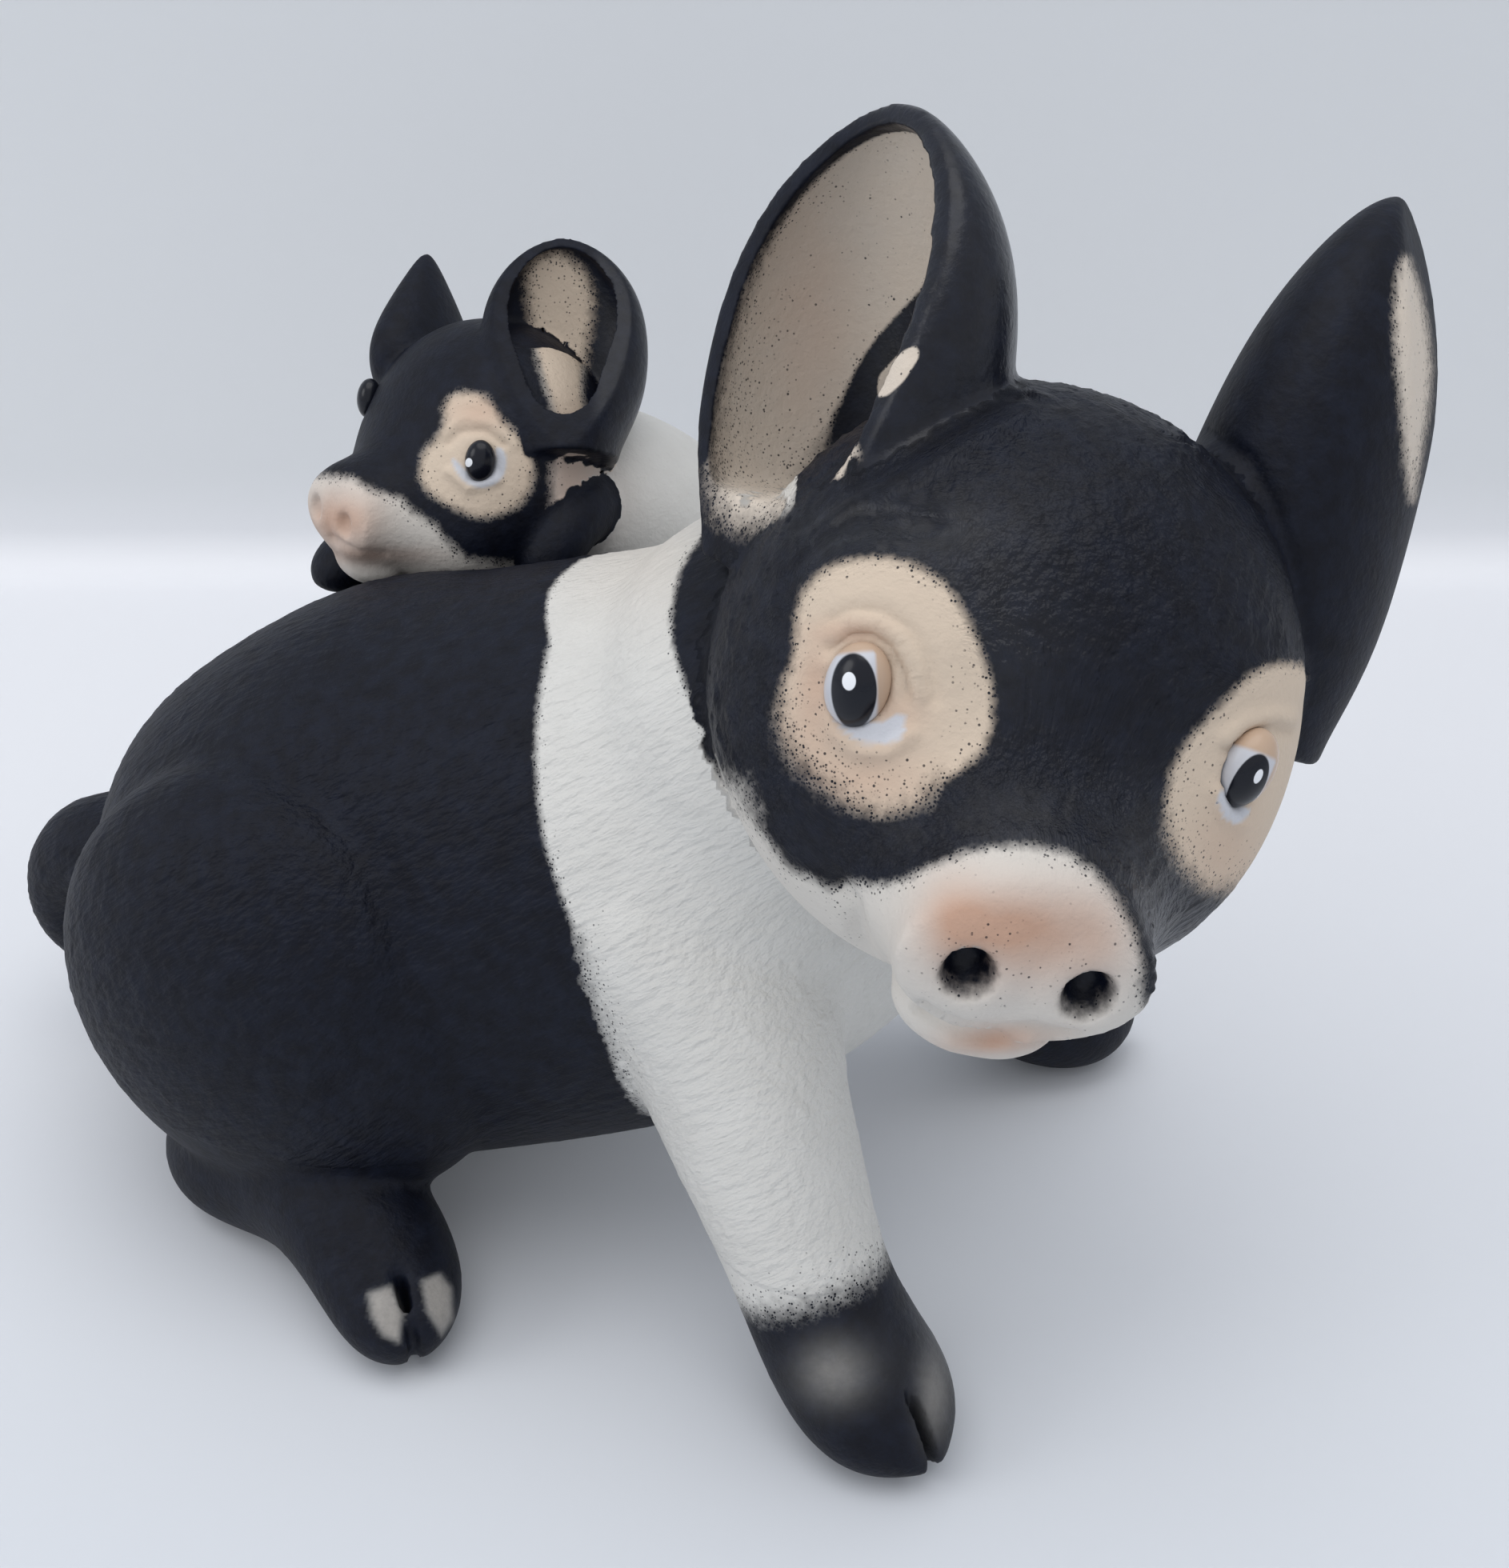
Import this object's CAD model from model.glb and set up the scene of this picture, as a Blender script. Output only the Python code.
import math

import bpy
import numpy as np
from mathutils import Matrix, Vector
from mathutils.kdtree import KDTree


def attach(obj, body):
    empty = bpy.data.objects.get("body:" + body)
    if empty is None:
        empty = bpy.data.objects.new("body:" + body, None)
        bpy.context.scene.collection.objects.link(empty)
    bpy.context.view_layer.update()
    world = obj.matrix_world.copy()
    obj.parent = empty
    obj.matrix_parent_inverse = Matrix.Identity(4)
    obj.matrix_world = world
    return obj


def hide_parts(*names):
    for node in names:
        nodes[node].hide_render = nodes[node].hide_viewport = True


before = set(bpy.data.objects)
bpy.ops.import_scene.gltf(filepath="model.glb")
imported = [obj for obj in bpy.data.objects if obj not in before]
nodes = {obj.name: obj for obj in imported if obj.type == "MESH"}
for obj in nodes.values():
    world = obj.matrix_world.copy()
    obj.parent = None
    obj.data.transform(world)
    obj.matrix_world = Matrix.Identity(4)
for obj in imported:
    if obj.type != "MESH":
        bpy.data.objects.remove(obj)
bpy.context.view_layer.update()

print("frame loaded:", len(nodes), "nodes")

# All shaping below works in millimetres; meshes are written in metres.


# Frames of the two heads
def headFrame(yaw, pitch, roll, place, share=1.0):
    # rows: towards the far side, towards the crown, out of the face
    y, p, r = [math.radians(v) for v in (yaw, pitch, roll)]
    face = np.array([math.sin(y) * math.cos(p), -math.cos(y) * math.cos(p), -math.sin(p)])
    level = np.array([math.cos(y), math.sin(y), 0.0])
    crown = np.cross(face, level)
    side = level * math.cos(r) - crown * math.sin(r)
    return {"axes": np.array([side, np.cross(face, side), face]), "place": np.array(place), "share": share}


def local(head, points):
    return (points - head["place"]) @ head["axes"].T / head["share"]


def outward(head, points):
    return np.asarray(points, float) * head["share"] @ head["axes"] + head["place"]


# yaw, pitch and roll in degrees, place, and size against the sow's
sowHead = headFrame(22, 5, 15, (107.0, -16.4, 103.5))
pigHead = headFrame(-30, -10, 2, (11.4, 36.5, 99.4), 0.62)


def earFrame(head, length, root, lean, back, turn, bulge):
    # rows: across the leaf, out of its opening, along it to the tip
    l, b, t = [math.radians(v) for v in (lean, back, turn)]
    axis = np.array([math.sin(l), math.cos(l) * math.cos(b), -math.cos(l) * math.sin(b)])
    front = np.array([0, 0, 1.0]) - axis * axis[2]
    front /= np.linalg.norm(front)
    opening = front * math.cos(t) + np.cross(axis, front) * math.sin(t)
    rows = np.array([np.cross(opening, axis), opening, axis])
    return {"head": head, "rows": rows, "root": np.array(root), "length": length, "bulge": bulge}


earSlant = math.radians(13.0)  # lean of the plane that cuts every ear's rim
ears = {
    "sow_near_ear": earFrame(sowHead, 54.5, (-23.5, 2, -10), -4, 20, -57, 1.5),
    "sow_far_ear": earFrame(sowHead, 68.0, (30, -5.5, -6), 5, 25, 49, 5.5),
    "piglet_near_ear": earFrame(pigHead, 56.0, (29.5, 7.5, -3), -30, 14, 54, 1.5),
    "piglet_far_ear": earFrame(pigHead, 42.0, (-26, 3, 2), -27, 14, -70, 1.5),
}


def earLeaf(skin, ear):
    # the skin's points in an ear's own rows
    return (local(ear["head"], skin.points) - ear["root"]) @ ear["rows"].T


# The camera's measures also serve to trace outlines and creases as they are seen from the front.
view = {
    "at": (150.7, -224.6, 210.0), "azimuth": 20.0, "elevation": 30.0,  # mm and degrees
    "focal": 2500.0, "middle": (943, 980), "height": 1960,  # pixels of the photograph
    "sensor": 36,
}
azimuth, elevation = math.radians(view["azimuth"]), math.radians(view["elevation"])
viewLevel = np.array([math.sin(azimuth), -math.cos(azimuth), 0.0])
viewBack = viewLevel * math.cos(elevation) + np.array([0, 0, math.sin(elevation)])
viewRight = np.array([math.cos(azimuth), math.sin(azimuth), 0.0])
viewUp = np.cross(viewBack, viewRight)


def seen(points):
    # place in the picture, and millimetres to one of its units
    away = points - np.array(view["at"])
    depth = -away @ viewBack
    flat = np.stack([away @ viewRight, -away @ viewUp], 1) / depth[:, None] * view["focal"]
    return flat + view["middle"], depth / view["focal"]


def towardsView(points, normals):
    away = np.array(view["at"]) - points
    return (away * normals).sum(1) / np.linalg.norm(away, axis=1)


def lineReach(flat, line, closed=False):
    # distance of each place from a traced line
    line = np.asarray(line, float)
    ends = np.roll(line, -1, 0) if closed else line[1:]
    best = np.full(len(flat), 1e9)
    for a, b in zip(line, ends):
        d = b - a
        t = np.clip((flat - a) @ d / max(d @ d, 1e-9), 0, 1)
        best = np.minimum(best, np.hypot(*(flat - a - t[:, None] * d).T))
    return best


def patch(points, outline):
    # signed reach in millimetres from a traced outline, above zero inside it
    flat, unit = seen(points)
    x, y = flat.T
    inside = np.zeros(len(flat), bool)
    line = np.asarray(outline, float)
    for (ax, ay), (bx, by) in zip(line, np.roll(line, -1, 0)):
        if ay != by:
            inside ^= ((ay > y) != (by > y)) & (x < (bx - ax) * (y - ay) / (by - ay) + ax)
    reach = lineReach(flat, outline, True) * unit
    return np.where(inside, reach, -reach)


def rounded(outline, rounds=2):
    # a traced outline with its corners cut, so that it runs smoothly
    line = np.asarray(outline, float)
    for step in range(rounds):
        ends = np.roll(line, -1, 0)
        line = np.stack([0.75 * line + 0.25 * ends, 0.25 * line + 0.75 * ends], 1).reshape(-1, 2)
    return line


# Turning castings into one skin
def deselectAll():
    for item in bpy.context.selected_objects:
        item.select_set(False)


def fuseNodes(names, plugs, voxel, label):
    # copies of the CAD nodes are joined and remeshed, which closes their seams
    deselectAll()
    copies = []
    for name in names:
        copy = nodes[name].copy()
        copy.data = nodes[name].data.copy()
        for key in list(copy.keys()):
            del copy[key]
        copy.parent = None
        bpy.context.scene.collection.objects.link(copy)
        copies.append(copy)
    for place, radius in plugs:
        bpy.ops.mesh.primitive_uv_sphere_add(
            segments=24, ring_count=16, radius=radius / 1000, location=[v / 1000 for v in place])
        copies.append(bpy.context.active_object)
    deselectAll()
    for copy in copies:
        copy.select_set(True)
    bpy.context.view_layer.objects.active = copies[0]
    bpy.ops.object.join()
    skin = bpy.context.active_object
    skin.name = label
    bpy.ops.object.mode_set(mode="EDIT")
    bpy.ops.mesh.select_all(action="SELECT")
    bpy.ops.mesh.remove_doubles(threshold=1e-6)
    bpy.ops.object.mode_set(mode="OBJECT")
    skin.data.remesh_voxel_size = voxel / 1000
    bpy.ops.object.voxel_remesh()
    bpy.ops.object.mode_set(mode="EDIT")
    bpy.ops.mesh.select_all(action="SELECT")
    bpy.ops.mesh.separate(type="LOOSE")
    bpy.ops.object.mode_set(mode="OBJECT")
    shells = sorted(bpy.context.selected_objects, key=lambda o: len(o.data.vertices))
    for inner in shells[:-1]:
        bpy.data.objects.remove(inner)
    return shells[-1]


class Skin:
    # a fused form as arrays, with the CAD node that each face belongs to
    def __init__(self, item, names, voxel):
        self.voxel = voxel
        mesh = item.data
        self.points = np.empty(len(mesh.vertices) * 3, np.float64)
        mesh.vertices.foreach_get("co", self.points)
        self.points = self.points.reshape(-1, 3) * 1000
        sizes = np.empty(len(mesh.polygons), np.int32)
        mesh.polygons.foreach_get("loop_total", sizes)
        corners = np.empty(len(mesh.loops), np.int32)
        mesh.loops.foreach_get("vertex_index", corners)
        assert (sizes == 4).all()
        self.quads = corners.reshape(-1, 4)
        edges = np.concatenate([self.quads[:, [i, (i + 1) % 4]] for i in range(4)])
        edges.sort(axis=1)
        self.edges = np.unique(edges, axis=0)
        self.count = np.bincount(self.edges.ravel(), minlength=len(self.points)).astype(float)
        self.names = list(names)
        bpy.data.objects.remove(item)
        self.findOwners()

    def findOwners(self):
        samples, owners = [], []
        for i, name in enumerate(self.names):
            mesh = nodes[name].data
            co = np.empty(len(mesh.vertices) * 3)
            mesh.vertices.foreach_get("co", co)
            co = np.unique((co.reshape(-1, 3) * 1000).round(2), axis=0)
            if len(co) > 9000:
                co = co[:: len(co) // 9000]
            samples.append(co)
            owners.append(np.full(len(co), i))
        samples, owners = np.concatenate(samples), np.concatenate(owners)
        tree = KDTree(len(samples))
        for i, p in enumerate(samples):
            tree.insert(p, i)
        tree.balance()
        self.owner = np.array([owners[tree.find(p)[1]] for p in self.points])
        for step in range(6):
            votes = np.zeros((len(self.points), len(self.names)), np.float32)
            votes[np.arange(len(self.points)), self.owner] = 1.5
            a, b = self.edges.T
            for k in range(len(self.names)):
                votes[:, k] += np.bincount(a, self.owner[b] == k, len(self.points))
                votes[:, k] += np.bincount(b, self.owner[a] == k, len(self.points))
            self.owner = votes.argmax(1)

    def mean(self, values):
        # average of each point's neighbours
        a, b = self.edges.T
        if values.ndim == 1:
            size = len(values)
            return (np.bincount(a, values[b], size) + np.bincount(b, values[a], size)) / self.count
        return np.stack([self.mean(values[:, k]) for k in range(values.shape[1])], 1)

    def spread(self, values, rounds):
        for step in range(rounds):
            values = 0.5 * values + 0.5 * self.mean(values)
        return values

    def smooth(self, rounds, weight=0.5):
        weight = np.broadcast_to(weight, (len(self.points),))[:, None]
        for step in range(rounds):
            self.points = self.points + weight * (self.mean(self.points) - self.points)

    def normals(self):
        p = self.points[self.quads]
        face = np.cross(p[:, 2] - p[:, 0], p[:, 3] - p[:, 1])
        out = np.zeros_like(self.points)
        for corner in range(4):
            for axis in range(3):
                out[:, axis] += np.bincount(self.quads[:, corner], face[:, axis], len(out))
        return out / np.maximum(np.linalg.norm(out, axis=1), 1e-12)[:, None]

    def crease(self, line, width, depth, names):
        # presses a traced line into the surface, or raises it when the depth is below zero
        flat, unit = seen(self.points)
        n = self.normals()
        facing = blend(towardsView(self.points, n), 0.0, 0.25) * self.of(*names)
        reach = lineReach(flat, line) * unit
        self.points -= n * (facing * depth * np.exp(-(reach / width) ** 2))[:, None]

    def strokes(self, hair, flow, where):
        # short carved hairs that lie along the flow
        rng = np.random.default_rng(hair["seed"])
        n = self.normals()
        tree = KDTree(len(self.points))
        for i, p in enumerate(self.points):
            tree.insert(p, i)
        tree.balance()
        chance = where * (self.voxel / hair["spacing"]) ** 2
        shift = np.zeros(len(self.points))
        for i in np.nonzero(rng.random(len(self.points)) < chance)[0]:
            turn = rng.normal(0, 0.22)
            along = flow[i] + turn * np.cross(n[i], flow[i])
            found = tree.find_range(self.points[i], hair["length"] * 0.62)
            near = np.array([index for place, index, reach in found])
            away = self.points[near] - self.points[i]
            u = away @ along / (hair["length"] * 0.5 * rng.uniform(0.7, 1.2))
            v = away @ np.cross(n[i], along) / hair["width"]
            groove = np.clip(1 - u * u, 0, 1) * np.exp(-v * v * 2.5) * (v + 0.25)
            shift[near] += hair["depth"] * rng.uniform(0.5, 1.2) * groove
        self.points += n * (shift * where ** 0.5)[:, None]

    def junction(self, first, second):
        # closeness to the seam between two groups of nodes, from 0 to 1
        a = np.isin(self.owner, [self.names.index(n) for n in first]).astype(float)
        b = np.isin(self.owner, [self.names.index(n) for n in second]).astype(float)
        return np.clip(4 * self.spread(a, 14) * self.spread(b, 14), 0, 1)

    def of(self, *names):
        return np.isin(self.owner, [self.names.index(n) for n in names])


def blend(value, low, high):
    t = np.clip((value - low) / (high - low), 0, 1)
    return t * t * (3 - 2 * t)


def writePiece(skin, node, fields, normals, label):
    # the faces of one node, closed by a fan at each seam, as an object with its paint fields
    index = skin.names.index(node)
    faceOwner = skin.owner[skin.quads]
    mine = skin.quads[(faceOwner == index).sum(1) * 2 + (faceOwner[:, 0] == index) > 4]
    used, quads = np.unique(mine, return_inverse=True)
    quads = quads.reshape(-1, 4)
    directed = np.concatenate([quads[:, [i, (i + 1) % 4]] for i in range(4)])
    known = {(a, b) for a, b in directed.tolist()}
    following = {}
    for a, b in known:
        if (b, a) not in known:
            following.setdefault(b, []).append(a)
    points = skin.points[used]
    caps, centres = [], []
    while following:
        start = next(iter(following))
        loop, here = [start], start
        while True:
            steps = following[here]
            onward = steps.pop()
            if not steps:
                del following[here]
            if onward == start:
                break
            loop.append(onward)
            here = onward
        centre = len(points) + len(centres)
        ring = points[loop]
        inward = normals[used][loop].mean(0)
        size = np.linalg.norm(ring - ring.mean(0), axis=1).mean()
        centres.append(ring.mean(0) - inward * 0.12 * size)
        caps += [(loop[i], loop[(i + 1) % len(loop)], centre) for i in range(len(loop))]
    allPoints = np.concatenate([points, np.array(centres).reshape(-1, 3)]) / 1000
    mesh = bpy.data.meshes.new(label)
    corners = np.concatenate([quads.ravel(), np.array(caps, np.int64).ravel()]).astype(np.int32)
    fans = len(quads) * 4 + np.arange(len(caps)) * 3
    starts = np.concatenate([np.arange(len(quads)) * 4, fans]).astype(np.int32)
    mesh.vertices.add(len(allPoints))
    mesh.vertices.foreach_set("co", allPoints.ravel())
    mesh.loops.add(len(corners))
    mesh.loops.foreach_set("vertex_index", corners)
    mesh.polygons.add(len(starts))
    mesh.polygons.foreach_set("loop_start", starts)
    mesh.polygons.foreach_set("use_smooth", np.ones(len(starts), bool))
    mesh.update(calc_edges=True)
    mesh.validate()
    for name, values in fields.items():
        values = values[used]
        flat = values.ndim == 1
        attribute = mesh.attributes.new(name, "FLOAT" if flat else "FLOAT_VECTOR", "POINT")
        values = np.concatenate([values, np.zeros((len(centres),) + values.shape[1:])])
        attribute.data.foreach_set("value" if flat else "vector", values.astype(np.float32).ravel())
    inner = np.tile([0, 0, -1.0], (len(centres), 1))
    mesh.normals_split_custom_set_from_vertices(np.concatenate([normals[used], inner]).tolist())
    piece = bpy.data.objects.new(label, mesh)
    bpy.context.scene.collection.objects.link(piece)
    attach(piece, "root")
    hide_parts(node)
    print("   ", label, len(quads) * 2 + len(caps), "triangles")
    return piece


# The shaders' arithmetic
class Wire:
    # one socket of a material, so that shader sums are written as plain sums
    def __init__(self, paint, socket):
        self.paint, self.socket = paint, socket

    def math(self, operation, *values):
        return self.paint.node("ShaderNodeMath", {"operation": operation}, dict(enumerate(values)))

    def __add__(self, other):
        return self.math("ADD", self, other)

    def __radd__(self, other):
        return self.math("ADD", other, self)

    def __sub__(self, other):
        return self.math("SUBTRACT", self, other)

    def __rsub__(self, other):
        return self.math("SUBTRACT", other, self)

    def __mul__(self, other):
        return self.math("MULTIPLY", self, other)

    def __truediv__(self, other):
        return self.math("DIVIDE", self, other)

    def clip(self):
        return self.paint.node("ShaderNodeMath", {"operation": "ADD", "use_clamp": True}, {0: self, 1: 0.0})

    def ease(self, low, high):
        settings = {"interpolation_type": "SMOOTHSTEP"}
        return self.paint.node("ShaderNodeMapRange", settings, {0: self, 1: low, 2: high, 3: 0.0, 4: 1.0})


class Paint:
    # a material, with one method that adds any node to it
    def __init__(self, name):
        self.material = bpy.data.materials.new(name)
        self.material.use_nodes = True
        self.tree = self.material.node_tree
        self.shader = self.tree.nodes["Principled BSDF"]

    def node(self, kind, settings=None, sockets=None, out=0):
        node = self.tree.nodes.new(kind)
        for key, value in (settings or {}).items():
            setattr(node, key, value)
        for key, value in (sockets or {}).items():
            if isinstance(value, Wire):
                self.tree.links.new(value.socket, node.inputs[key])
            else:
                node.inputs[key].default_value = value
        return Wire(self, node.outputs[out])

    def field(self, name, vector=False):
        return self.node("ShaderNodeAttribute", {"attribute_name": name}, out=1 if vector else 2)

    def place(self, scale=1000.0):
        # object coordinates in millimetres
        spot = self.node("ShaderNodeTexCoord", out=3)
        return self.node("ShaderNodeMapping", {}, {0: spot, 3: (scale, scale, scale)})

    def grain(self, vector, size, detail=2.0, rough=0.5):
        return self.node("ShaderNodeTexNoise", {}, {
            "Vector": vector, "Scale": 1.0 / size, "Detail": detail, "Roughness": rough})

    def cells(self, vector, size, out):
        return self.node("ShaderNodeTexVoronoi", {}, {"Vector": vector, "Scale": 1 / size}, out)

    def part(self, vector, k):
        return self.node("ShaderNodeSeparateXYZ", {}, {0: vector}, k)

    def along(self, vector, axis):
        settings = {"operation": "DOT_PRODUCT"}
        return self.node("ShaderNodeVectorMath", settings, {0: vector, 1: tuple(axis)}, 1)

    def mix(self, factor, first, second):
        return self.node("ShaderNodeMix", {"data_type": "RGBA"}, {0: factor, 6: first, 7: second}, out=2)

    def set(self, name, value):
        if isinstance(value, Wire):
            self.tree.links.new(value.socket, self.shader.inputs[name])
        else:
            self.shader.inputs[name].default_value = value


# Snouts, in a head's own frame
snout = {
    "middle": -12.0, "halfWidth": 15.0, "halfHeight": 10.5, "faceFrom": (34, 39),
    "nostrilSides": (-6.6, 6.6), "nostrilUp": -12.2, "nostrilSquash": 0.92, "nostrilRim": (3.3, 1.4),
    "moundReach": 4.0, "moundWidth": 2.2, "moundHeight": 0.55,
    "grooveWidth": 2.2, "grooveDepth": 0.5, "grooveFrom": (-13, -18),
}


def nostrilReach(side, up, across):
    return np.hypot(side - across, (up - snout["nostrilUp"]) * snout["nostrilSquash"])


def muzzle(skin, head, form):
    # the snout's disc swells, with a mound round each nostril and a recess in it
    side, up, face = local(head, skin.points).T
    disc = np.hypot(side / snout["halfWidth"], (up - snout["middle"]) / snout["halfHeight"])
    swell = form["muzzleDome"] * np.clip(1 - disc ** 2, 0, 1)
    for across in snout["nostrilSides"]:
        reach = nostrilReach(side, up, across)
        mound = np.exp(-((reach - snout["moundReach"]) / snout["moundWidth"]) ** 2)
        swell = swell + snout["moundHeight"] * mound
        swell = swell - form["nostrilDepth"] * blend(reach, *snout["nostrilRim"])
    groove = np.exp(-(side / snout["grooveWidth"]) ** 2) * blend(up, *snout["grooveFrom"])
    swell = (swell - snout["grooveDepth"] * groove) * blend(face, *snout["faceFrom"])
    skin.points = skin.points + head["axes"][2] * (swell * head["share"])[:, None]


# Sow: form, in millimetres and rounds of smoothing
sowForm = {
    "voxel": 0.7, "slipRounds": 10, "seamRounds": 20,
    "neckRounds": 90, "neckMiddle": (76.4, -3, 87), "neckRadius": 30, "neckReach": (9, 3),
    "neckFrom": (66, 80),
    "snoutRounds": 26, "snoutFrom": (33, 38), "muzzleDome": 1.5, "nostrilDepth": 2.6,
    "ventMiddle": (16.4, 0, 9.2), "ventRadius": 4.4,
}
bodyHair = {"seed": 7, "spacing": 2.6, "length": 4.4, "width": 0.85, "depth": 0.27}
crownHair = {"seed": 8, "spacing": 1.9, "length": 3.0, "width": 0.6, "depth": 0.34}
sowNodes = ["sow_torso", "sow_head", "sow_near_ear", "sow_far_ear", "sow_near_foreleg", "sow_far_foreleg",
            "sow_near_hind_leg", "sow_far_hind_leg", "sow_tail"]
limbNodes = sowNodes[4:]
ventPlug = (sowForm["ventMiddle"], sowForm["ventRadius"])
fused = fuseNodes(sowNodes, [ventPlug], sowForm["voxel"], "sowFused")
sow = Skin(fused, sowNodes, sowForm["voxel"])
print("sow fused:", len(sow.points), "points")
sow.smooth(sowForm["slipRounds"])
sow.smooth(sowForm["seamRounds"], 0.5 * sow.junction(["sow_torso"], limbNodes))
neckReach = np.linalg.norm(sow.points - np.array(sowForm["neckMiddle"]), axis=1) - sowForm["neckRadius"]
neckCrease = blend(np.abs(neckReach), *sowForm["neckReach"]) * sow.of("sow_torso")
neckCrease = neckCrease * blend(sow.points[:, 2], *sowForm["neckFrom"])
sow.smooth(sowForm["neckRounds"], 0.5 * neckCrease)
sowFace = local(sowHead, sow.points)[:, 2]
sow.smooth(sowForm["snoutRounds"], 0.5 * blend(sowFace, *sowForm["snoutFrom"]) * sow.of("sow_head"))
muzzle(sow, sowHead, sowForm)
print("sow smoothed")

# Creases, and ridges with a depth below zero: line in the photograph's pixels, width and depth in
# millimetres, and the nodes that it marks where these aren't the head alone
sowFolds = {
    "mouth": ([(1150, 1262), (1172, 1277), (1205, 1288), (1250, 1293), (1290, 1288), (1315, 1296),
               (1345, 1300)], 0.75, 1.3),
    "lip": ([(1190, 1302), (1240, 1308), (1285, 1304)], 0.9, -0.5),
    "cheek": ([(1046, 1106), (1062, 1132), (1070, 1165), (1092, 1205)], 1.0, 1.4),
    "nearLidLine": ([(1040, 808), (1062, 790), (1090, 790), (1115, 808), (1130, 838), (1136, 870)], 0.7, 0.7),
    "nearLid": ([(1046, 796), (1066, 778), (1094, 778), (1124, 796), (1142, 830), (1150, 870)], 0.8, -0.6),
    "nearWrinkle": ([(1040, 775), (1070, 762), (1105, 765), (1138, 788), (1160, 826), (1168, 872)],
                    0.8, 0.45),
    "nearBrow": ([(1050, 735), (1100, 728), (1150, 748), (1180, 790)], 5.0, -0.8),
    "nearLowerLid": ([(1036, 830), (1030, 870), (1040, 915), (1070, 940), (1110, 940), (1138, 918)],
                     0.9, -0.7),
    "nearPouch": ([(1020, 850), (1018, 900), (1040, 945), (1085, 965)], 1.2, 0.35),
    "farLidLine": ([(1535, 935), (1560, 915), (1590, 908), (1612, 912)], 0.8, 0.6),
    "farLid": ([(1530, 925), (1558, 902), (1590, 895), (1612, 900)], 0.8, -0.7),
    "farLowerLid": ([(1520, 990), (1530, 1018), (1552, 1030)], 0.9, -0.6),
    "farBrow": ([(1560, 850), (1600, 838), (1625, 850)], 3.0, -0.7),
    "lowEarFold": ([(985, 735), (1000, 700), (1040, 668), (1090, 655), (1150, 662)], 1.2, 0.5),
    "highEarFold": ([(985, 715), (1010, 672), (1060, 645), (1120, 640), (1180, 655)], 1.2, 0.4),
    "thigh": ([(283, 983), (345, 985), (404, 1010), (471, 1077), (504, 1185), (485, 1293), (431, 1360)],
              3.2, 0.7, "sow_torso", "sow_near_hind_leg"),
    "nearEarSeam": ([(1000, 660), (1060, 612), (1130, 578), (1200, 532), (1270, 498)], 0.7, 0.45,
                    "sow_head", "sow_near_ear"),
    "nearEarSlip": ([(1012, 672), (1070, 626), (1140, 590), (1210, 544), (1280, 508)], 0.9, -0.35),
    "farEarSeam": ([(1500, 530), (1562, 575), (1590, 630), (1618, 710), (1632, 800)], 0.8, 0.5,
                   "sow_head", "sow_far_ear"),
}
for line, width, depth, *names in sowFolds.values():
    sow.crease(line, width, depth, names or ["sow_head"])

bodyLine = np.array([-0.8, 0.0, -0.6])


def hairFlow(skin):
    # hairs run back and down the body, and fan out from between the eyes
    n = skin.normals()
    p = skin.points
    flow = np.tile(bodyLine, (len(p), 1))
    side, up, face = local(sowHead, p).T
    fan = np.stack([side * 0.8, np.clip(up + 6, 4, 40), -0.9 * np.clip(face, -10, 30)], 1) @ sowHead["axes"]
    flow[skin.of("sow_head")] = fan[skin.of("sow_head")]
    for name in limbNodes[:4]:
        flow[skin.of(name)] = [0.2, 0, -1.0]
    x, y, z = p.T
    flow += 0.5 * np.stack([np.sin(z * 0.21 + y * 0.1), np.sin(x * 0.17), np.cos(x * 0.13 + z * 0.1)], 1)
    flow -= (flow * n).sum(1)[:, None] * n
    return flow / np.maximum(np.linalg.norm(flow, axis=1), 1e-6)[:, None]


# Outlines of the paint, in the photograph's pixels
nearEyePatch = rounded([
    (1100, 697), (1140, 705), (1180, 730), (1205, 765), (1220, 800), (1238, 850), (1240, 890), (1235, 930),
    (1205, 960), (1175, 975), (1150, 1000), (1125, 1012), (1095, 1015), (1070, 1005), (1040, 985),
    (1010, 960), (985, 930), (975, 890), (980, 850), (995, 820), (995, 780), (1000, 745), (1020, 720),
    (1050, 702)])
farEyePatch = rounded([
    (1600, 828), (1640, 835), (1690, 860), (1690, 1040), (1610, 1075), (1570, 1095), (1540, 1112),
    (1510, 1110), (1490, 1095), (1470, 1070), (1460, 1040), (1458, 1000), (1465, 960), (1490, 920),
    (1520, 890), (1550, 855), (1570, 840)])
muzzleCream = [
    (900, 975), (925, 985), (945, 1032), (985, 1085), (1040, 1112), (1062, 1103), (1100, 1107),
    (1130, 1100), (1160, 1085), (1200, 1068), (1240, 1060), (1290, 1058), (1330, 1066), (1370, 1092),
    (1400, 1130), (1417, 1165), (1427, 1205), (1425, 1240), (1440, 1300), (1440, 1600), (700, 1600),
    (700, 975)]
nearEarCream = rounded([
    (1105, 131), (1135, 146), (1160, 168), (1180, 200), (1193, 235), (1193, 275), (1185, 310), (1165, 345),
    (1130, 385), (1100, 415), (1075, 450), (1050, 500), (1030, 545), (1010, 590), (1000, 625), (970, 645),
    (940, 655), (914, 650), (902, 632), (895, 600), (893, 560), (893, 500), (897, 450), (905, 400),
    (915, 350), (935, 290), (955, 230), (985, 190), (1010, 175), (1040, 160), (1075, 140)])
farEarCream = rounded([
    (1756, 312), (1775, 360), (1788, 437), (1786, 505), (1772, 590), (1765, 640), (1758, 590), (1752, 512),
    (1744, 437), (1743, 387), (1748, 340)])
toePatches = [[(458, 1615), (490, 1605), (505, 1640), (500, 1680), (478, 1672), (462, 1645)],
              [(525, 1600), (550, 1590), (566, 1610), (568, 1650), (552, 1672), (532, 1640)]]
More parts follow.
